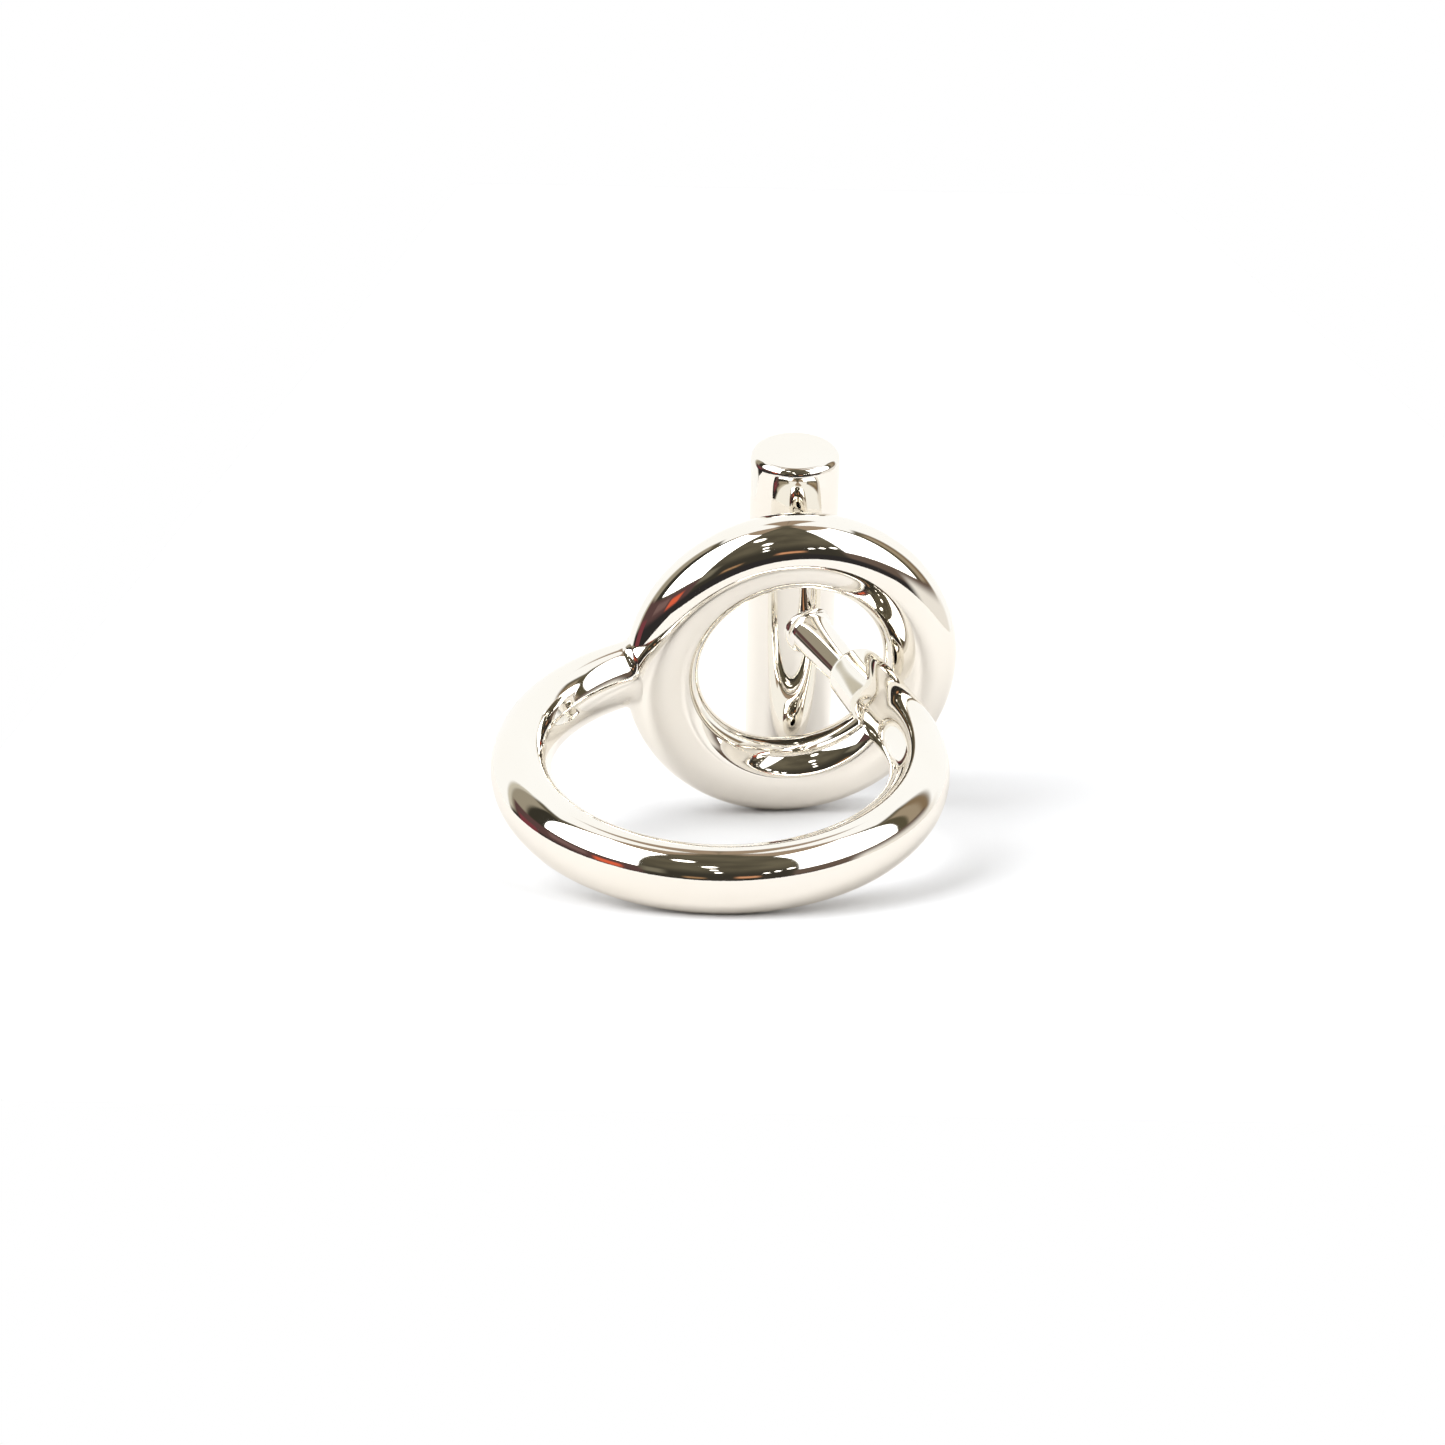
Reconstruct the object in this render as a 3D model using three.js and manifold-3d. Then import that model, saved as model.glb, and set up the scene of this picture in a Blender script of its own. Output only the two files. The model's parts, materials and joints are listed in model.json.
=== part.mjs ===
// Toggle-clasp finger ring in polished silver: a round-wire finger loop whose left end is soldered to a
// small round toggle ring, and whose right end runs straight through that ring's hole and carries, on a
// thin post, the toggle bar behind it. Nothing moves: the four pieces are pegged and soldered.
//
// Units are millimetres. The pieces are designed in the loop's own frame (origin at the loop's centre,
// the loop in the XY plane, the toggle ring and the bar at +Y, the bar along Z). The whole assembly is then
// leaned about X until the loop's near end and the toggle ring's lowest point both touch the table, and
// moved so that the origin is at the bottom centre of its box, with +Z up.

import * as THREE from 'three';
import * as BufferGeometryUtils from 'three/addons/utils/BufferGeometryUtils.js';
import Module from 'manifold-3d';

// ---------------------------------------------------------------- driving dimensions

const LOOP_RADIUS = 10.3; // centreline; the finger hole is 2 * (LOOP_RADIUS - LOOP_HALF_WIDTH) = 17.5 across
const LOOP_HALF_WIDTH = 1.56; // section, in the loop's plane
const LOOP_HALF_HEIGHT = 1.79; // section, along the loop's axis
const LOOP_START_DEG = 19; // where the arc starts, left of the far side, inside the toggle ring's section
const LOOP_END_DEG = 23.05; // where the arc ends on the right, past the loop's widest point

const NOSE_RADIUS = 1.55; // round section that the straight run tapers to
const NOSE_RUN = 6.05; // length of the straight run, from the arc to the nose's face
const NOSE_EDGE = 0.35; // rounding of the nose's face

const RING_CENTRE = new THREE.Vector3(3.71, 10.26, 0);
const RING_RADIUS = 7.04; // centreline
const RING_SECTION_RADIUS = 2.0;
const RING_TURN_DEG = 8.5; // the ring's left side is nearer than its right side

const BAR_X = 3.75;
const BAR_Y = 15.9;
const BAR_RADIUS = 2.4;
const BAR_HALF_LENGTH = 10.0;
const BAR_EDGE = 0.45; // rounding of the bar's two end faces

const POST_NOSE_RADIUS = 0.91; // the post widens evenly from the nose to the bar
const POST_BAR_RADIUS = 1.14;
const POST_OFFSET = 0.42; // from the nose's axis towards the inside of the loop
const POST_FLARE_RADIUS = 1.32; // solder fillet against the bar
const POST_FLARE_LENGTH = 0.5;
const SEAT_DEPTH = NOSE_EDGE; // the post's full section sits this deep in the nose's face
const PEG_RADIUS = 0.75; // the post's two reduced ends, in blind holes in the nose and the bar
const PEG_DEPTH = 1.7;

const SOLDER_GAP = 0.03; // between pieces that touch

const SECTION_SIDES = 20; // sides of the loop's and the toggle ring's sections
const RING_SEGMENTS = 60;
const BAR_SEGMENTS = 40;
const POST_SEGMENTS = 24;
const ARC_STEP_DEG = 5;
const RUN_STEPS = 5;
const EDGE_STEPS = 4; // steps round a rounded edge
const MERGE_TOLERANCE = 1e-5;
const CUTTER_OVERRUN = 1; // how far a cutter stands out of the face that it cuts

// ---------------------------------------------------------------- derived places

const DEG = Math.PI / 180;

// The straight run is tangent to the arc.
const arcEnd = LOOP_END_DEG * DEG;
const outwards = new THREE.Vector3(Math.cos(arcEnd), Math.sin(arcEnd), 0);
const runStart = outwards.clone().multiplyScalar(LOOP_RADIUS);
const runDirection = new THREE.Vector3(-Math.sin(arcEnd), Math.cos(arcEnd), 0);
const noseFace = runStart.clone().addScaledVector(runDirection, NOSE_RUN);

// The post runs from a point on the nose's face to the bar's axis.
const barAxis = new THREE.Vector3(BAR_X, BAR_Y, 0);
const postStart = noseFace.clone().addScaledVector(outwards, -POST_OFFSET);
const postDirection = barAxis.clone().sub(postStart).normalize();
const postLength = barAxis.distanceTo(postStart);

// ---------------------------------------------------------------- solids and booleans

const wasm = await Module();
wasm.setup();

function toSolid(geometry) {
  const plain = geometry.clone();
  plain.deleteAttribute('normal');
  plain.deleteAttribute('uv');
  const merged = BufferGeometryUtils.mergeVertices(plain, MERGE_TOLERANCE);
  return new wasm.Manifold(new wasm.Mesh({
    numProp: 3,
    vertProperties: new Float32Array(merged.attributes.position.array),
    triVerts: new Uint32Array(merged.index.array),
  }));
}

function toGeometry(solid) {
  const mesh = solid.getMesh();
  const geometry = new THREE.BufferGeometry();
  geometry.setAttribute('position', new THREE.BufferAttribute(new Float32Array(mesh.vertProperties), 3));
  geometry.setIndex(new THREE.BufferAttribute(new Uint32Array(mesh.triVerts), 1));
  geometry.computeVertexNormals();
  return geometry;
}

// A closed bar through a list of elliptical sections: { centre, side, halfSide, halfUp }, with up = +Z.
function loftSections(sections, sides) {
  const positions = [];
  const index = [];
  const up = new THREE.Vector3(0, 0, 1);
  for (const { centre, side, halfSide, halfUp } of sections) {
    for (let i = 0; i < sides; i++) {
      const turn = (2 * Math.PI * i) / sides;
      const point = centre.clone()
        .addScaledVector(side, halfSide * Math.cos(turn))
        .addScaledVector(up, halfUp * Math.sin(turn));
      positions.push(point.x, point.y, point.z);
    }
  }
  for (let s = 0; s + 1 < sections.length; s++) {
    for (let i = 0; i < sides; i++) {
      const a = s * sides + i;
      const b = s * sides + ((i + 1) % sides);
      index.push(a, a + sides, b, b, a + sides, b + sides);
    }
  }
  const first = positions.length / 3;
  const lastRing = (sections.length - 1) * sides;
  positions.push(...sections[0].centre.toArray(), ...sections[sections.length - 1].centre.toArray());
  for (let i = 0; i < sides; i++) {
    const next = (i + 1) % sides;
    index.push(first, i, next);
    index.push(first + 1, lastRing + next, lastRing + i);
  }
  const geometry = new THREE.BufferGeometry();
  geometry.setAttribute('position', new THREE.Float32BufferAttribute(positions, 3));
  geometry.setIndex(index);
  return geometry;
}

// A solid of revolution about its own +Y, from [radius, height] points that start and end on the axis.
function turned(profile, segments) {
  const points = profile.map(([radius, height]) => new THREE.Vector2(radius, height));
  return new THREE.LatheGeometry(points, segments);
}

// A quarter round from the side of a turned piece onto its end face.
function roundedEnd(radius, height, edge, direction) {
  const points = [];
  for (let i = 0; i <= EDGE_STEPS; i++) {
    const turn = (Math.PI / 2) * (i / EDGE_STEPS);
    points.push([radius - edge * (1 - Math.cos(turn)), height - direction * edge * (1 - Math.sin(turn))]);
  }
  return points;
}

// Puts a turned piece's +Y along the post's axis, with its zero height at the nose's face.
function placeOnPost(geometry) {
  const turn = new THREE.Quaternion().setFromUnitVectors(new THREE.Vector3(0, 1, 0), postDirection);
  return geometry.applyQuaternion(turn).translate(postStart.x, postStart.y, postStart.z);
}

// ---------------------------------------------------------------- the pieces

function toggleRingGeometry(extra = 0) {
  const sectionRadius = RING_SECTION_RADIUS + extra;
  const profile = [];
  for (let i = 0; i <= SECTION_SIDES; i++) {
    const turn = (2 * Math.PI * i) / SECTION_SIDES;
    profile.push([RING_RADIUS + sectionRadius * Math.cos(turn), sectionRadius * Math.sin(turn)]);
  }
  return turned(profile, RING_SEGMENTS)
    .rotateZ(RING_TURN_DEG * DEG)
    .translate(RING_CENTRE.x, RING_CENTRE.y, RING_CENTRE.z);
}

function fingerLoopSections() {
  const sections = [];
  const startAngle = (90 + LOOP_START_DEG) * DEG;
  const endAngle = 2 * Math.PI + arcEnd;
  const steps = Math.round((endAngle - startAngle) / (ARC_STEP_DEG * DEG));
  for (let i = 0; i <= steps; i++) {
    const angle = startAngle + ((endAngle - startAngle) * i) / steps;
    const side = new THREE.Vector3(Math.cos(angle), Math.sin(angle), 0);
    const centre = side.clone().multiplyScalar(LOOP_RADIUS);
    sections.push({ centre, side, halfSide: LOOP_HALF_WIDTH, halfUp: LOOP_HALF_HEIGHT });
  }
  const side = sections[sections.length - 1].side;
  const taperEnd = NOSE_RUN - NOSE_EDGE;
  for (let i = 1; i < RUN_STEPS; i++) {
    const part = i / RUN_STEPS;
    sections.push({
      centre: runStart.clone().addScaledVector(runDirection, taperEnd * part),
      side,
      halfSide: THREE.MathUtils.lerp(LOOP_HALF_WIDTH, NOSE_RADIUS, part),
      halfUp: THREE.MathUtils.lerp(LOOP_HALF_HEIGHT, NOSE_RADIUS, part),
    });
  }
  for (const [radius, along] of roundedEnd(NOSE_RADIUS, NOSE_RUN, NOSE_EDGE, 1)) {
    const centre = runStart.clone().addScaledVector(runDirection, along);
    sections.push({ centre, side, halfSide: radius, halfUp: radius });
  }
  return sections;
}

// The post's end in the nose: the peg, then the shoulder of the full section.
function noseEndProfile(extra = 0) {
  const shoulder = -SEAT_DEPTH - extra;
  const bottom = shoulder - PEG_DEPTH;
  const pegRadius = PEG_RADIUS + extra;
  return [[0, bottom], [pegRadius, bottom], [pegRadius, shoulder], [POST_NOSE_RADIUS + extra, shoulder]];
}

function seatGeometry() {
  const radius = POST_NOSE_RADIUS + SOLDER_GAP;
  const profile = [...noseEndProfile(SOLDER_GAP), [radius, CUTTER_OVERRUN], [0, CUTTER_OVERRUN]];
  return placeOnPost(turned(profile, POST_SEGMENTS));
}

function fingerLoop() {
  return toSolid(loftSections(fingerLoopSections(), SECTION_SIDES))
    .subtract(toSolid(toggleRingGeometry(SOLDER_GAP)))
    .subtract(toSolid(seatGeometry()));
}

function barGeometry(extra = 0) {
  const radius = BAR_RADIUS + extra;
  const profile = [
    [0, -BAR_HALF_LENGTH],
    ...roundedEnd(radius, -BAR_HALF_LENGTH, BAR_EDGE, -1).reverse(),
    ...roundedEnd(radius, BAR_HALF_LENGTH, BAR_EDGE, 1),
    [0, BAR_HALF_LENGTH],
  ];
  return turned(profile, BAR_SEGMENTS).rotateX(Math.PI / 2).translate(BAR_X, BAR_Y, 0);
}

function barPegGeometry(extra = 0) {
  const radius = PEG_RADIUS + extra;
  const start = postLength - BAR_RADIUS - POST_FLARE_LENGTH;
  const end = postLength - BAR_RADIUS + PEG_DEPTH + extra;
  return placeOnPost(turned([[0, start], [radius, start], [radius, end], [0, end]], POST_SEGMENTS));
}

function toggleBar() {
  return toSolid(barGeometry()).subtract(toSolid(barPegGeometry(SOLDER_GAP)));
}

function togglePost() {
  const barFace = postLength - BAR_RADIUS;
  const flareStart = barFace - POST_FLARE_LENGTH;
  const profile = [...noseEndProfile(), [POST_NOSE_RADIUS, 0], [POST_BAR_RADIUS, flareStart]];
  for (let i = 1; i <= EDGE_STEPS; i++) {
    const part = i / EDGE_STEPS;
    const grow = 1 - Math.sqrt(1 - part ** 2);
    profile.push([
      THREE.MathUtils.lerp(POST_BAR_RADIUS, POST_FLARE_RADIUS, grow),
      flareStart + POST_FLARE_LENGTH * part,
    ]);
  }
  const insideBar = postLength - BAR_RADIUS / 2;
  profile.push([POST_FLARE_RADIUS, insideBar], [0, insideBar]);
  return toSolid(placeOnPost(turned(profile, POST_SEGMENTS)))
    .subtract(toSolid(barGeometry(SOLDER_GAP)))
    .add(toSolid(barPegGeometry()));
}

// ---------------------------------------------------------------- how it rests on a table

// Lowest height of a ring of elliptical section, for a tilt whose up direction makes axial = axis . up.
function ringDrop(radius, halfWidth, halfDepth, axial) {
  const radial = Math.sqrt(1 - axial ** 2);
  return radius * radial + Math.hypot(halfWidth * radial, halfDepth * axial);
}

const STEEPEST_LEAN = 45 * DEG;
const BISECTIONS = 60;

function restingLean() {
  const turn = Math.cos(RING_TURN_DEG * DEG);
  const difference = (lean) => {
    const loop = -ringDrop(LOOP_RADIUS, LOOP_HALF_WIDTH, LOOP_HALF_HEIGHT, Math.cos(lean));
    const ring = RING_CENTRE.y * Math.sin(lean)
      - ringDrop(RING_RADIUS, RING_SECTION_RADIUS, RING_SECTION_RADIUS, turn * Math.sin(lean));
    return ring - loop;
  };
  let low = 0;
  let high = STEEPEST_LEAN;
  for (let i = 0; i < BISECTIONS; i++) {
    const middle = (low + high) / 2;
    if (difference(middle) < 0) low = middle;
    else high = middle;
  }
  return low;
}

// ---------------------------------------------------------------- assembly

const polishedSilver = { color: 0xe9e5dd, metalness: 1.0, roughness: 0.08 };

function named(name, solid) {
  const mesh = new THREE.Mesh(toGeometry(solid), new THREE.MeshStandardMaterial(polishedSilver));
  mesh.name = name;
  return mesh;
}

const jewel = new THREE.Group();
jewel.add(
  named('finger_loop', fingerLoop()),
  named('toggle_ring', toSolid(toggleRingGeometry())),
  named('toggle_post', togglePost()),
  named('toggle_bar', toggleBar()),
);
jewel.rotation.x = restingLean();

const part = new THREE.Group();
part.add(jewel);
part.updateMatrixWorld(true);
const box = new THREE.Box3().setFromObject(part, true);
const centre = box.getCenter(new THREE.Vector3());
jewel.position.set(-centre.x, -centre.y, -box.min.z);

export default part;
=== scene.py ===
"""Polished silver toggle-clasp finger ring on a white table, with soft studio light.

The pieces are built in millimetres in the jewel's own frame: the finger loop's centre is the origin,
the loop lies in the XY plane, and the toggle ring and the bar are at +Y, with the bar along Z. The
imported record's two mounts, on the bar's end faces, say where that frame stands on the table.
"""

import json
import math

import bpy
from mathutils import Matrix, Vector


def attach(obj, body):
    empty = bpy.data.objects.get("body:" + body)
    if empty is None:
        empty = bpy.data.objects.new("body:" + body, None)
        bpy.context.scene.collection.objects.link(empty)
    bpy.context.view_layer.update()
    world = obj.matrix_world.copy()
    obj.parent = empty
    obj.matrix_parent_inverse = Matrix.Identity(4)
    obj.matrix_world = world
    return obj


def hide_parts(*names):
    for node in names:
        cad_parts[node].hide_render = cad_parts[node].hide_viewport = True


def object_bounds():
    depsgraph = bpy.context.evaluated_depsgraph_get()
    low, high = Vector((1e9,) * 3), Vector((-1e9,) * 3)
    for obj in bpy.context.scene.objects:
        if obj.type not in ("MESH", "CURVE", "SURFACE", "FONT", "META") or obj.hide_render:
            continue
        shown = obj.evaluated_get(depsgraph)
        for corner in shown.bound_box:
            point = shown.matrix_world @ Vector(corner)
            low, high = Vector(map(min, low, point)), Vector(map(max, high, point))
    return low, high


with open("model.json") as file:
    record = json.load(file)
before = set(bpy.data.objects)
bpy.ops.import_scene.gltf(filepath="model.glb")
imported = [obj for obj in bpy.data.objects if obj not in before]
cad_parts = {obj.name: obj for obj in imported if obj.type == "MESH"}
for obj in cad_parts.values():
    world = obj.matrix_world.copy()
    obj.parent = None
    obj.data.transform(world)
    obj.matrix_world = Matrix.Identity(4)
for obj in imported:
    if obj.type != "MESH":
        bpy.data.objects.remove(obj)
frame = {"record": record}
cad_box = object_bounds()

MM = 0.001
TAU = 2 * math.pi

# ------------------------------------------------------------------ driving dimensions, in millimetres

LOOP_RADIUS = 10.3
LOOP_HALF_WIDTH = 1.56
LOOP_HALF_HEIGHT = 1.79
LOOP_START = math.radians(109)  # here the loop's wire is still inside the toggle ring
LOOP_END = math.radians(23.05)

NOSE_RADIUS = 1.55
NOSE_RUN = 6.05
NOSE_EDGE = 0.35
NOSE_TAPER = 0.07  # how much fuller than an even taper the straight run is at its middle

RING_CENTRE = Vector((3.71, 10.26, 0))
RING_RADIUS = 7.04
RING_SECTION_RADIUS = 2.0
RING_TURN = math.radians(8.5)

BAR_AXIS = Vector((3.75, 15.9, 0))
BAR_RADIUS = 2.4
BAR_HALF_LENGTH = 10.0
BAR_EDGE = 0.45

POST_NOSE_RADIUS = 0.91
POST_BAR_RADIUS = 1.14
POST_FLARE_RADIUS = 1.32
POST_FLARE_LENGTH = 0.5
POST_OFFSET = 0.42
SEAT_DEPTH = NOSE_EDGE
PEG_RADIUS = 0.75
PEG_DEPTH = 1.7

LOOP_FILLET = 0.55  # solder blend between the loop and the toggle ring
POST_FILLET = 0.15  # solder blend between the post and the bar
SKIRT_SINK = 0.03  # how far a blend's edge dips under the surface that it joins
BURIED_SHARE = 0.6  # where the loop's hidden end is, between the ring wire's middle and its surface
SKEW_FADES_OVER = 0.5  # radians of arc over which the loop's slanting end rows turn square

# ------------------------------------------------------------------ mesh fineness

LOOP_SIDES = 96
LOOP_ROWS = 420
RUN_ROWS = 40
RING_ROWS = 320
RING_SIDES = 112
BAR_SIDES = 144
BAR_ROWS = 48
POST_SIDES = 96
POST_ROWS = 24
EDGE_STEPS = 10
FILLET_STEPS = 10
FLARE_ROWS = 10
FACE_SHARES = (0.985, 0.6, 0.25)  # rows across a flat face, as shares of its radius
BISECTIONS = 40

UP = Vector((0, 0, 1))

# ------------------------------------------------------------------ where the jewel stands


def jewel_matrix():
    """The jewel's frame in metres, from the record's mounts on the bar's two end faces."""
    mounts = {mount["name"]: mount for mount in frame["record"]["mounts"]}
    top, bottom = mounts["bar_top_face"], mounts["bar_bottom_face"]
    z_axis = Vector(top["axis"]).normalized()
    x_axis = Vector((1, 0, 0))
    y_axis = z_axis.cross(x_axis)
    turn = Matrix((x_axis, y_axis, z_axis)).transposed()
    bar_middle = (Vector(top["pos_m"]) + Vector(bottom["pos_m"])) / 2
    origin = bar_middle - turn @ (BAR_AXIS * MM)
    return Matrix.Translation(origin) @ turn.to_4x4() @ Matrix.Scale(MM, 4)


JEWEL = jewel_matrix()

# The loop's straight run is tangent to its arc, and the post goes on from the nose to the bar's axis.
outwards = Vector((math.cos(LOOP_END), math.sin(LOOP_END), 0))
run_start = outwards * LOOP_RADIUS
run_direction = Vector((-outwards.y, outwards.x, 0))

post_start = run_start + run_direction * NOSE_RUN - outwards * POST_OFFSET
post_axis = (BAR_AXIS - post_start).normalized()
post_side = post_axis.cross(UP)
post_length = (BAR_AXIS - post_start).length

ring_side = Vector((math.cos(RING_TURN), math.sin(RING_TURN), 0))
ring_axis = Vector((-ring_side.y, ring_side.x, 0))

# ------------------------------------------------------------------ surfaces that other pieces join


def onto_toggle_ring(point, sink=0.0):
    """The nearest point of the toggle ring's surface, or one that far inside it."""
    middle = ring_section_middle(point)
    return middle + (point - middle).normalized() * (RING_SECTION_RADIUS - sink)


def ring_section_middle(point):
    offset = point - RING_CENTRE
    flat = offset - ring_axis * offset.dot(ring_axis)
    return RING_CENTRE + flat.normalized() * RING_RADIUS


def outside_toggle_ring(point):
    return (point - ring_section_middle(point)).length > RING_SECTION_RADIUS


def onto_bar(point, sink=0.0):
    """The nearest point of the bar's round surface, or one that far inside it."""
    middle = Vector((BAR_AXIS.x, BAR_AXIS.y, point.z))
    return middle + (point - middle).normalized() * (BAR_RADIUS - sink)


def outside_bar(point):
    return math.hypot(point.x - BAR_AXIS.x, point.y - BAR_AXIS.y) > BAR_RADIUS


def last_outside(line, inside, outside, is_outside):
    """Where a line of points meets a surface, between a value inside it and one outside."""
    for _ in range(BISECTIONS):
        middle = (inside + outside) / 2
        if is_outside(line(middle)):
            outside = middle
        else:
            inside = middle
    return outside


def bent(start, corner, end, part):
    """A point on the smooth curve that leaves start and end towards the corner."""
    rest = 1 - part
    return start * rest ** 2 + corner * (2 * part * rest) + end * part ** 2


# ------------------------------------------------------------------ meshes from rows of points


def add_piece(name, rows, first_cap=None, last_cap=None, closed=False):
    """A closed mesh through rows of equal length, capped at both ends unless it is a ring."""
    sides = len(rows[0])
    points = [point for row in rows for point in row]
    faces = []
    for r in range(len(rows) if closed else len(rows) - 1):
        this, following = r * sides, (r + 1) % len(rows) * sides
        for i in range(sides):
            j = (i + 1) % sides
            faces.append((this + i, this + j, following + j, following + i))
    if not closed:
        last = (len(rows) - 1) * sides
        points += [first_cap, last_cap]
        for i in range(sides):
            j = (i + 1) % sides
            faces.append((len(points) - 2, j, i))
            faces.append((len(points) - 1, last + i, last + j))
    mesh = bpy.data.meshes.new(name)
    mesh.from_pydata([JEWEL @ point for point in points], [], faces)
    mesh.validate()
    mesh.shade_smooth()
    piece = bpy.data.objects.new(name, mesh)
    bpy.context.scene.collection.objects.link(piece)
    return piece


def circle(centre, first, second, first_radius, second_radius, sides):
    """A row of points round a circle, or round an ellipse where the two radii differ."""
    row = []
    for i in range(sides):
        turn = TAU * i / sides
        along_first = first * first_radius * math.cos(turn)
        along_second = second * second_radius * math.sin(turn)
        row.append(centre + along_first + along_second)
    return row


def rounded_edge(radius, length, edge):
    """(radius, height) from the side of a round end onto its flat face and most of the way across it."""
    points = []
    for i in range(EDGE_STEPS + 1):
        turn = math.pi / 2 * i / EDGE_STEPS
        points.append((radius - edge * (1 - math.cos(turn)), length - edge * (1 - math.sin(turn))))
    flat = radius - edge
    return points + [(flat * share, length) for share in FACE_SHARES]


# ------------------------------------------------------------------ the four pieces


def loop_point(angle, turn):
    """A point of the loop's surface: angle goes along the arc, and turn round the section."""
    radial = Vector((math.cos(angle), math.sin(angle), 0))
    along_radial = LOOP_RADIUS + LOOP_HALF_WIDTH * math.cos(turn)
    return radial * along_radial + UP * LOOP_HALF_HEIGHT * math.sin(turn)


def finger_loop():
    end = TAU + LOOP_END
    turns = [TAU * i / LOOP_SIDES for i in range(LOOP_SIDES)]
    meets = [
        last_outside(lambda angle: loop_point(angle, turn), LOOP_START, math.pi, outside_toggle_ring)
        for turn in turns
    ]
    reach = LOOP_FILLET / LOOP_RADIUS
    middle = sum(meets) / len(meets)

    skirt, corners = [], []
    for angle, turn in zip(meets, turns):
        corner = loop_point(angle, turn)
        section_middle = Vector((math.cos(angle), math.sin(angle), 0)) * LOOP_RADIUS
        aside = (corner - section_middle).normalized()
        corners.append(corner)
        skirt.append(onto_toggle_ring(corner + aside * LOOP_FILLET, SKIRT_SINK))
    starts = [loop_point(angle + reach, turn) for angle, turn in zip(meets, turns)]

    root = ring_section_middle(loop_point(middle, 0))
    buried = [root + (point - root) * BURIED_SHARE for point in corners]
    rows = [buried, skirt]
    for step in range(1, FILLET_STEPS + 1):
        part = 1 - step / FILLET_STEPS
        rows.append([bent(a, b, c, part) for a, b, c in zip(starts, corners, skirt)])
    for r in range(1, LOOP_ROWS + 1):
        angle = middle + reach + (end - middle - reach) * r / LOOP_ROWS
        skew = max(0, 1 - (angle - middle - reach) / SKEW_FADES_OVER) ** 2
        angles = [angle + (meet - middle) * skew for meet in meets]
        rows.append([loop_point(own_angle, turn) for own_angle, turn in zip(angles, turns)])

    for r in range(1, RUN_ROWS + 1):
        part = r / RUN_ROWS
        centre = run_start + run_direction * (NOSE_RUN - NOSE_EDGE) * part
        ease = part * part * (3 - 2 * part)
        swell = NOSE_TAPER * ease * (1 - part) * 4
        half_width = LOOP_HALF_WIDTH + (NOSE_RADIUS - LOOP_HALF_WIDTH) * ease + swell
        half_height = LOOP_HALF_HEIGHT + (NOSE_RADIUS - LOOP_HALF_HEIGHT) * ease
        rows.append(circle(centre, outwards, UP, half_width, half_height, LOOP_SIDES))
    for radius, along in rounded_edge(NOSE_RADIUS, NOSE_RUN, NOSE_EDGE)[1:]:
        centre = run_start + run_direction * along
        rows.append(circle(centre, outwards, UP, radius, radius, LOOP_SIDES))
    return add_piece("finger_loop_fine", rows, root, run_start + run_direction * NOSE_RUN)


def toggle_ring():
    radius = RING_SECTION_RADIUS
    rows = []
    for r in range(RING_ROWS):
        turn = TAU * r / RING_ROWS
        radial = ring_side * math.cos(turn) + UP * math.sin(turn)
        middle = RING_CENTRE + radial * RING_RADIUS
        rows.append(circle(middle, radial, ring_axis, radius, radius, RING_SIDES))
    return add_piece("toggle_ring_fine", rows, closed=True)


def toggle_bar():
    end = rounded_edge(BAR_RADIUS, BAR_HALF_LENGTH, BAR_EDGE)
    side_length = BAR_HALF_LENGTH - BAR_EDGE
    side = [(BAR_RADIUS, side_length * (2 * r / BAR_ROWS - 1)) for r in range(1, BAR_ROWS)]
    profile = [(radius, -height) for radius, height in reversed(end)] + side + end
    rows = [
        circle(BAR_AXIS + UP * height, Vector((1, 0, 0)), Vector((0, 1, 0)), radius, radius, BAR_SIDES)
        for radius, height in profile
    ]
    half = UP * BAR_HALF_LENGTH
    return add_piece("toggle_bar_fine", rows, BAR_AXIS - half, BAR_AXIS + half)


def post_radius(height):
    """The post widens evenly from the nose, then flares like a trumpet just before the bar."""
    flare_start = post_length - BAR_RADIUS - POST_FLARE_LENGTH
    if height < flare_start:
        return POST_NOSE_RADIUS + (POST_BAR_RADIUS - POST_NOSE_RADIUS) * max(0, height) / flare_start
    part = min(1, (height - flare_start) / POST_FLARE_LENGTH)
    return POST_BAR_RADIUS + (POST_FLARE_RADIUS - POST_BAR_RADIUS) * part ** 2


def aside_from_post(turn):
    return post_side * math.cos(turn) + UP * math.sin(turn)


def post_point(height, turn):
    return post_start + post_axis * height + aside_from_post(turn) * post_radius(height)


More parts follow.
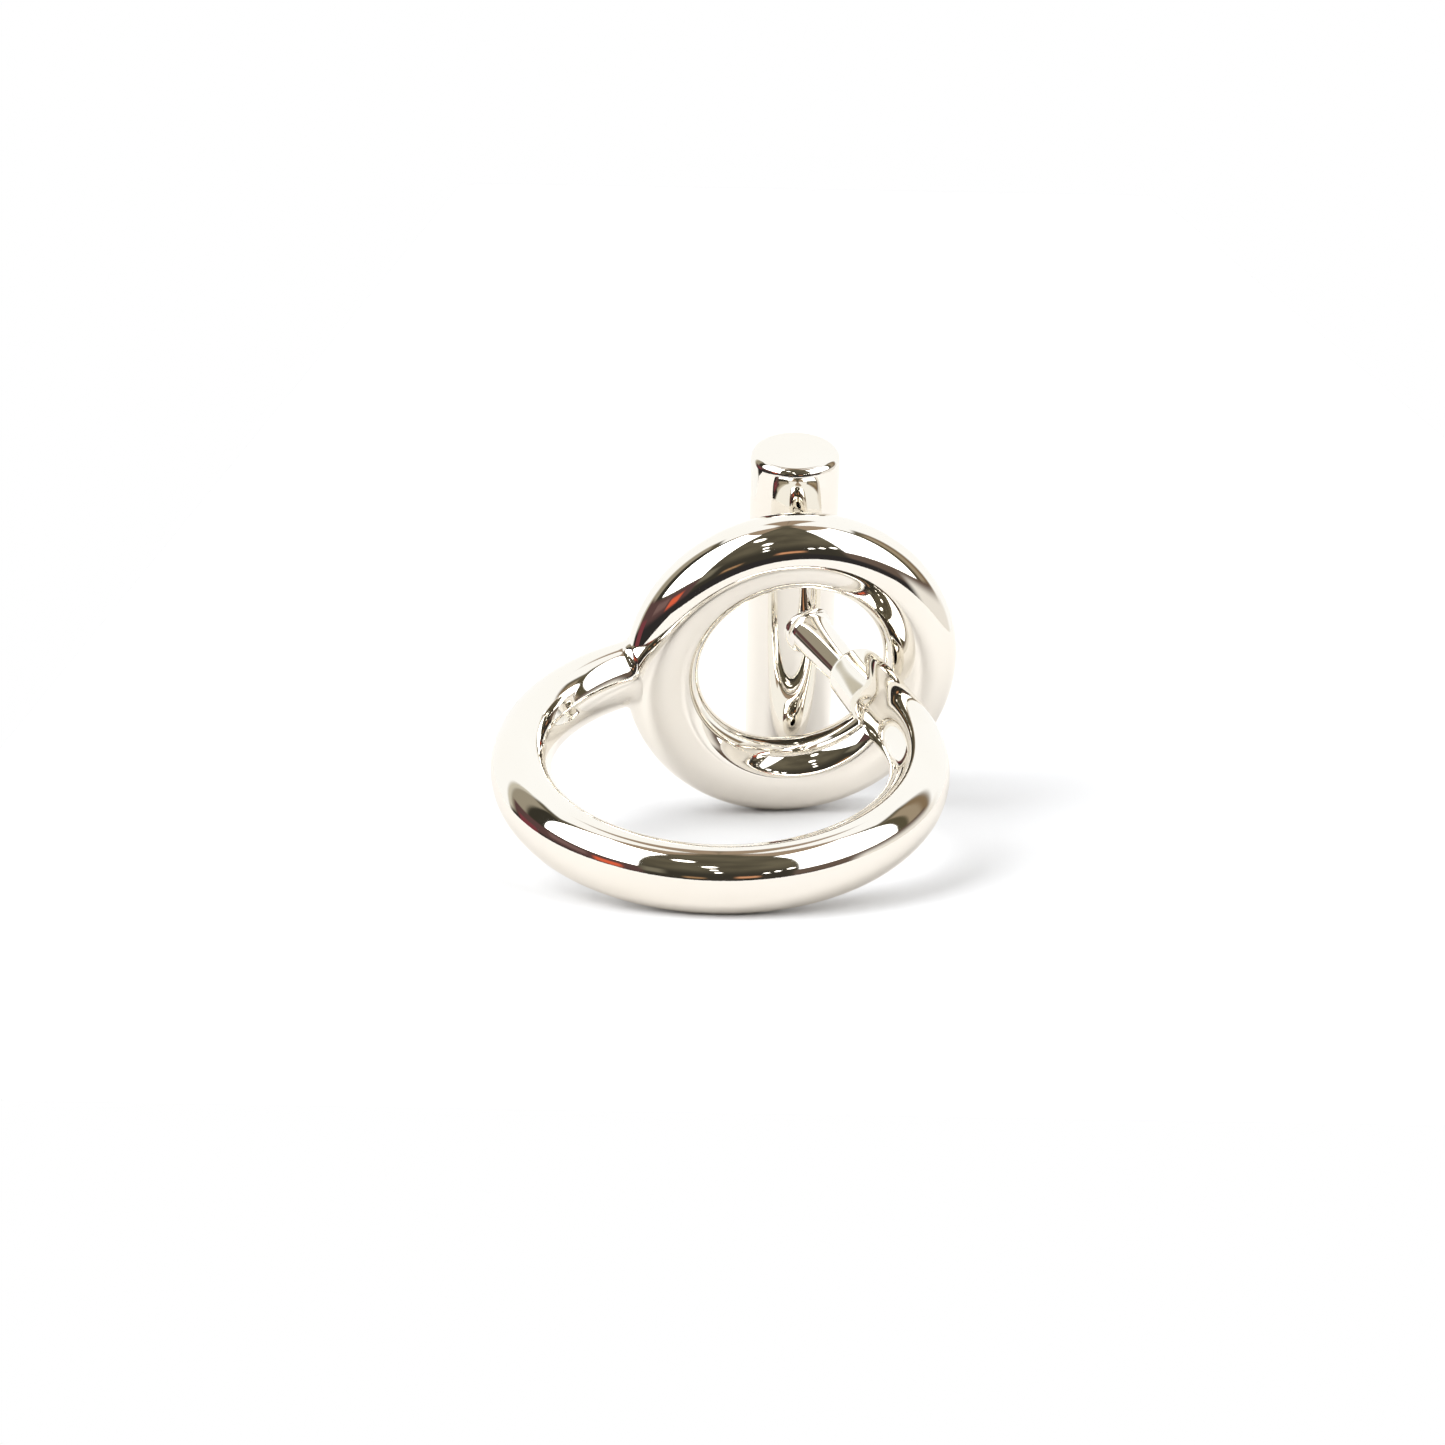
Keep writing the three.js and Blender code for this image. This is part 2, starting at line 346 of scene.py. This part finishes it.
def toggle_post():
    turns = [TAU * i / POST_SIDES for i in range(POST_SIDES)]
    face = post_length - BAR_RADIUS
    meets = [
        last_outside(lambda height: post_point(height, turn), post_length, 0, outside_bar)
        for turn in turns
    ]
    corners = [post_point(height, turn) for height, turn in zip(meets, turns)]
    skirt = [
        onto_bar(corner + aside_from_post(turn) * POST_FILLET, SKIRT_SINK)
        for corner, turn in zip(corners, turns)
    ]

    def peg(height):
        return circle(post_start + post_axis * height, post_side, UP, PEG_RADIUS, PEG_RADIUS, POST_SIDES)

    nose_end = -SEAT_DEPTH - PEG_DEPTH
    bar_end = face + PEG_DEPTH
    flare_start = face - POST_FLARE_LENGTH
    heights = [-SEAT_DEPTH + (flare_start + SEAT_DEPTH) * r / POST_ROWS for r in range(POST_ROWS + 1)]
    heights += [flare_start + POST_FLARE_LENGTH * r / FLARE_ROWS for r in range(1, FLARE_ROWS + 1)]
    blend_starts = [meet - POST_FILLET for meet in meets]
    rows = [peg(nose_end), peg(-SEAT_DEPTH)]
    for height in heights:
        rows.append([post_point(min(height, blend), turn) for blend, turn in zip(blend_starts, turns)])
    starts = [post_point(blend, turn) for blend, turn in zip(blend_starts, turns)]
    for step in range(FILLET_STEPS + 1):
        rows.append([bent(a, b, c, step / FILLET_STEPS) for a, b, c in zip(starts, corners, skirt)])
    rows += [peg(post_length - BAR_RADIUS / 2), peg(bar_end)]
    tip = post_start + post_axis * bar_end
    return add_piece("toggle_post_fine", rows, post_start + post_axis * nose_end, tip)


# ------------------------------------------------------------------ silver


SILVER = (0.93, 0.905, 0.855)
DRIFT = (0.985, 0.98, 0.965)  # the drifting tint's deeper end, as a share of the lighter one
DRIFT_SCALE = 160
DRIFT_STARTS = 0.35
DRIFT_ENDS = 0.65
LINE_STRETCH = (1, 1, 6)  # draws the noise out into fine lines that lie flat
SMOOTHEST = 0.015
DULLEST = 0.06
LINE_DEPTH = 0.00002
LINE_STRENGTH = 0.02


def polished_silver(name, line_scale):
    """Mirror-polished silver: a warm tint that drifts, fine polishing lines and uneven gloss."""
    material = bpy.data.materials.new(name)
    material.use_nodes = True
    nodes, links = material.node_tree.nodes, material.node_tree.links
    shader = nodes["Principled BSDF"]
    shader.inputs["Metallic"].default_value = 1.0

    place = nodes.new("ShaderNodeTexCoord")

    drift = nodes.new("ShaderNodeTexNoise")
    drift.inputs["Scale"].default_value = DRIFT_SCALE
    drift.inputs["Detail"].default_value = 2
    links.new(place.outputs["Object"], drift.inputs["Vector"])
    colour = nodes.new("ShaderNodeValToRGB")
    deeper, lighter = colour.color_ramp.elements
    deeper.position = DRIFT_STARTS
    deeper.color = (*(channel * share for channel, share in zip(SILVER, DRIFT)), 1)
    lighter.position = DRIFT_ENDS
    lighter.color = (*SILVER, 1)
    links.new(drift.outputs["Fac"], colour.inputs["Fac"])
    links.new(colour.outputs["Color"], shader.inputs["Base Color"])

    stretch = nodes.new("ShaderNodeMapping")
    stretch.inputs["Scale"].default_value = LINE_STRETCH
    links.new(place.outputs["Object"], stretch.inputs["Vector"])
    lines = nodes.new("ShaderNodeTexNoise")
    lines.inputs["Scale"].default_value = line_scale
    lines.inputs["Detail"].default_value = 4
    lines.inputs["Roughness"].default_value = 0.65
    links.new(stretch.outputs["Vector"], lines.inputs["Vector"])

    gloss = nodes.new("ShaderNodeMapRange")
    gloss.inputs["From Min"].default_value = 0.35
    gloss.inputs["From Max"].default_value = 0.75
    gloss.inputs["To Min"].default_value = SMOOTHEST
    gloss.inputs["To Max"].default_value = DULLEST
    links.new(lines.outputs["Fac"], gloss.inputs["Value"])
    links.new(gloss.outputs["Result"], shader.inputs["Roughness"])

    bump = nodes.new("ShaderNodeBump")
    bump.inputs["Strength"].default_value = LINE_STRENGTH
    bump.inputs["Distance"].default_value = LINE_DEPTH
    links.new(lines.outputs["Fac"], bump.inputs["Height"])
    links.new(bump.outputs["Normal"], shader.inputs["Normal"])
    return material


def finish_piece(piece, material, node):
    piece.data.materials.append(material)
    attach(piece, "root")
    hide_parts(node)


finish_piece(finger_loop(), polished_silver("loop_silver", 2200), "finger_loop")
finish_piece(toggle_ring(), polished_silver("ring_silver", 2000), "toggle_ring")
finish_piece(toggle_post(), polished_silver("post_silver", 2600), "toggle_post")
finish_piece(toggle_bar(), polished_silver("bar_silver", 1800), "toggle_bar")

# ------------------------------------------------------------------ the white table

TABLE_LEFT = -0.042
TABLE_RIGHT = 0.065
TABLE_FRONT = -0.045
TABLE_BACK = 0.4
TABLE_REFLECTED = (0.725, 0.71, 0.705)
TABLE_SEEN = (0.795, 0.81, 0.845)


def colour_mix(nodes):
    """A new mix node's factor, its two colours and its result."""
    node = nodes.new("ShaderNodeMix")
    node.data_type = "RGBA"
    return node.inputs[0], node.inputs[6], node.inputs[7], node.outputs[2]


def white_table():
    mesh = bpy.data.meshes.new("table")
    corners = [
        (TABLE_LEFT, TABLE_FRONT, 0),
        (TABLE_RIGHT, TABLE_FRONT, 0),
        (TABLE_RIGHT, TABLE_BACK, 0),
        (TABLE_LEFT, TABLE_BACK, 0),
    ]
    mesh.from_pydata(corners, [], [(0, 1, 2, 3)])
    material = bpy.data.materials.new("table_white")
    material.use_nodes = True
    nodes, links = material.node_tree.nodes, material.node_tree.links
    shader = nodes["Principled BSDF"]
    # The camera sees a slightly overexposed sheet; in the silver it is a little warmer and darker.
    path = nodes.new("ShaderNodeLightPath")
    factor, reflected, seen, paper = colour_mix(nodes)
    reflected.default_value = (*TABLE_REFLECTED, 1)
    seen.default_value = (*TABLE_SEEN, 1)
    links.new(path.outputs["Is Camera Ray"], factor)
    links.new(paper, shader.inputs["Base Color"])
    shader.inputs["Roughness"].default_value = 0.9
    shader.inputs["Specular IOR Level"].default_value = 0.2
    mesh.materials.append(material)
    table = bpy.data.objects.new("table", mesh)
    bpy.context.scene.collection.objects.link(table)


white_table()

# ------------------------------------------------------------------ the studio round it, by direction


class Studio:
    """A world whose colour is laid down patch by patch over bearings and heights, in degrees.

    Both are seen from the jewel. Bearing 0 is the front and 90 the right, and height 0 is level.
    """

    def __init__(self, colour):
        world = bpy.data.worlds.new("studio")
        world.use_nodes = True
        bpy.context.scene.world = world
        self.nodes, self.links = world.node_tree.nodes, world.node_tree.links
        self.background = self.nodes["Background"]
        place = self.nodes.new("ShaderNodeTexCoord")
        split = self.nodes.new("ShaderNodeSeparateXYZ")
        self.direction = place.outputs["Generated"]
        self.links.new(self.direction, split.inputs["Vector"])
        forward = self.maths("MULTIPLY", split.outputs["Y"], -1)
        self.bearing = self.degrees(self.maths("ARCTAN2", split.outputs["X"], forward))
        self.height = self.degrees(self.maths("ARCSINE", split.outputs["Z"]))
        self.colour = self.nodes.new("ShaderNodeRGB").outputs["Color"]
        self.colour.default_value = (*colour, 1)

    def maths(self, operation, *values):
        node = self.nodes.new("ShaderNodeMath")
        node.operation = operation
        for socket, value in zip(node.inputs, values):
            if isinstance(value, (int, float)):
                socket.default_value = value
            else:
                self.links.new(value, socket)
        return node.outputs["Value"]

    def degrees(self, value):
        return self.maths("MULTIPLY", value, 180 / math.pi)

    def rises(self, value, at, soft):
        """0 well below a value and 1 well above it, with a smooth step between."""
        node = self.nodes.new("ShaderNodeMapRange")
        node.interpolation_type = "SMOOTHSTEP"
        node.inputs["From Min"].default_value = at - soft
        node.inputs["From Max"].default_value = at + soft
        self.links.new(value, node.inputs["Value"])
        return node.outputs["Result"]

    def between(self, value, low, high, soft):
        past_low = self.rises(value, low, soft)
        past_high = self.rises(value, high, soft)
        return self.maths("SUBTRACT", past_low, past_high)

    def lay(self, mask, colour, strength=1.0):
        """Puts a colour over what is there, where the mask is 1."""
        factor, first, second, mixed = colour_mix(self.nodes)
        self.links.new(mask, factor)
        self.links.new(self.colour, first)
        second.default_value = (*(channel * strength for channel in colour), 1)
        self.colour = mixed

    def mottle(self, colour, scale):
        """Uneven darker areas over everything laid down so far."""
        node = self.nodes.new("ShaderNodeTexNoise")
        node.inputs["Scale"].default_value = scale
        node.inputs["Detail"].default_value = 4
        self.links.new(self.direction, node.inputs["Vector"])
        self.lay(self.rises(node.outputs["Fac"], 0.5, 0.25), colour)

    def patch(self, bearings, heights, colour, strength=1.0, soft=1.0):
        across = self.between(self.bearing, *bearings, soft)
        upright = self.between(self.height, *heights, soft)
        self.lay(self.maths("MULTIPLY", across, upright), colour, strength)

    def behind(self, bearing, top, colour, strength, soft):
        """Everything further round than a bearing on either side, up to a height."""
        away = self.rises(self.maths("ABSOLUTE", self.bearing), bearing, soft)
        below = self.maths("SUBTRACT", 1, self.rises(self.height, top, 2))
        self.lay(self.maths("MULTIPLY", away, below), colour, strength)

    def lamp(self, bearing, height, size):
        """A small round lamp, its size given as the angle from its middle to its rim."""
        turn = math.radians(bearing)
        rise = math.radians(height)
        level = math.cos(rise)
        towards = (math.sin(turn) * level, -math.cos(turn) * level, math.sin(rise))
        node = self.nodes.new("ShaderNodeVectorMath")
        node.operation = "DOT_PRODUCT"
        self.links.new(self.direction, node.inputs[0])
        node.inputs[1].default_value = towards
        away = self.degrees(self.maths("ARCCOSINE", node.outputs["Value"]))
        near = self.maths("SUBTRACT", 1, self.rises(away, size, size / 4))
        self.lay(near, WARM_WHITE, LAMP)

    def show(self):
        """Light comes from the patches, and a camera that looks past the table sees plain white."""
        plain = self.nodes.new("ShaderNodeBackground")
        mix = self.nodes.new("ShaderNodeMixShader")
        path = self.nodes.new("ShaderNodeLightPath")
        self.links.new(self.colour, self.background.inputs["Color"])
        self.links.new(path.outputs["Is Camera Ray"], mix.inputs["Fac"])
        self.links.new(self.background.outputs["Background"], mix.inputs[1])
        self.links.new(plain.outputs["Background"], mix.inputs[2])
        plain.inputs["Color"].default_value = (1, 1, 1, 1)
        self.links.new(mix.outputs["Shader"], self.nodes["World Output"].inputs["Surface"])


WHITE = (1.0, 1.0, 0.985)
WARM_WHITE = (1.0, 0.97, 0.9)

# How many times brighter than their colour the lit things are.
LEFT_SOFTBOX = 6.0
RIGHT_SOFTBOX = 3.0
LAMP = 5
BACKDROP = 1.06

ROOM = (0.155, 0.135, 0.09)
MIDDLE_ROOM = (0.085, 0.073, 0.05)
DARK_ROOM = (0.045, 0.04, 0.03)
CEILING = (0.36, 0.27, 0.19)

LEFT_EDGE = (0.6, 0.56, 0.46)
LEFT_STAND = (0.34, 0.3, 0.225)
LEFT_BLACK = (0.04, 0.036, 0.026)
RIGHT_BROWN = (0.24, 0.17, 0.1)
RIGHT_TAN = (0.36, 0.29, 0.2)
RIGHT_DARK = (0.1, 0.085, 0.05)

LEFT_FLOOR = (0.11, 0.06, 0.057)
RIGHT_FLOOR = (0.14, 0.1, 0.078)
FLOOR_SHADOW = (0.03, 0.027, 0.027)
CREAM_SHEET = (0.88, 0.84, 0.78)

MAROON = (0.2, 0.05, 0.06)
ROSE = (0.2, 0.12, 0.11)
RED = (0.75, 0.13, 0.06)
ORANGE = (0.7, 0.33, 0.17)
BROWN = (0.42, 0.24, 0.12)
OLIVE = (0.2, 0.18, 0.13)

BELOW = -60  # a height under which the table hides everything
STAND_TOP = 50

studio = Studio(ROOM)
studio.mottle(MIDDLE_ROOM, 2.5)
studio.patch((-38, 38), (-20, 22), DARK_ROOM, soft=10)
studio.patch((-180, -40), (62, 86), CEILING, soft=3)
studio.patch((40, 180), (62, 86), CEILING, soft=3)

# The white backdrop, whose wings come forward overhead on both sides.
studio.behind(116, 66, WHITE, BACKDROP, 5)
studio.patch((-150, -96), (56, 84), WHITE, BACKDROP, soft=2)
studio.patch((96, 150), (56, 84), WHITE, BACKDROP, soft=2)

# The stands between the backdrop and the softboxes, darkest next to the boxes.
studio.patch((-119, -114), (BELOW, STAND_TOP), LEFT_EDGE, soft=2)
studio.patch((-114.5, -99), (BELOW, STAND_TOP), LEFT_STAND, soft=2)
studio.patch((-100, -84), (BELOW, STAND_TOP), LEFT_BLACK, soft=3)
studio.patch((104, 116), (4, STAND_TOP), RIGHT_BROWN, soft=4)
studio.patch((96, 108), (4, STAND_TOP), RIGHT_TAN, soft=3)
studio.patch((86, 97), (BELOW, STAND_TOP), RIGHT_DARK, soft=2)

# The room beyond the table, under the softboxes, and more pale sheet on the right.
studio.patch((-112, -34), (BELOW, 13), LEFT_FLOOR, soft=2)
studio.patch((34, 112), (BELOW, 12), RIGHT_FLOOR, soft=2)
studio.patch((-118, 74), (BELOW, -2), FLOOR_SHADOW, soft=3)
studio.patch((66, 125), (BELOW, 5), CREAM_SHEET, soft=6)

# Coloured things that stand about, low down.
studio.patch((-109, -94), (-12, 2), MAROON, soft=1.5)
studio.patch((-84, -62), (3, 10), ROSE, soft=2)
studio.patch((-58, -44), (-1, 7), RED, soft=2)
studio.patch((8, 18), (3, 8), ORANGE, soft=2)
studio.patch((-15, -6), (1, 5), BROWN, soft=2)
studio.patch((-34, -24), (6, 18), OLIVE, soft=3)

# The two softboxes, and small lamps further off.
studio.patch((-86, -36), (15, 70), WHITE, LEFT_SOFTBOX)
studio.patch((36, 89), (12, 68), WHITE, RIGHT_SOFTBOX)
studio.lamp(-18, 55, 3.2)
studio.lamp(-4, 39, 2.6)
studio.lamp(-2, 29, 1.5)
studio.lamp(0, 21, 1.5)
studio.lamp(21, 14, 1.3)
studio.lamp(26, 16, 1.4)
studio.lamp(32, 19, 1.7)
studio.show()

# ------------------------------------------------------------------ camera

CAMERA_HEIGHT = math.radians(12.77)  # above the table, as an angle
CAMERA_ROLL = math.radians(1.0)
CAMERA_DISTANCE = 0.2048
CAMERA_LENS = 96.35
AIM = Vector((-0.00032, 0.00061, -0.00398))  # from the middle of the object's box


def photographer():
    camera = bpy.data.cameras.new("camera")
    camera.lens = CAMERA_LENS
    camera.sensor_width = 36
    camera.clip_start = 0.01
    camera.clip_end = 20
    eye = bpy.data.objects.new("camera", camera)
    bpy.context.scene.collection.objects.link(eye)
    aim = (cad_box[0] + cad_box[1]) / 2 + AIM
    back = Vector((0, -math.cos(CAMERA_HEIGHT), math.sin(CAMERA_HEIGHT)))
    place = Matrix.Translation(aim + back * CAMERA_DISTANCE)
    look = (-back).to_track_quat("-Z", "Y").to_matrix().to_4x4()
    roll = Matrix.Rotation(CAMERA_ROLL, 4, "Z")
    eye.matrix_world = place @ look @ roll
    bpy.context.scene.camera = eye


photographer()
bpy.context.scene.view_settings.view_transform = "Standard"
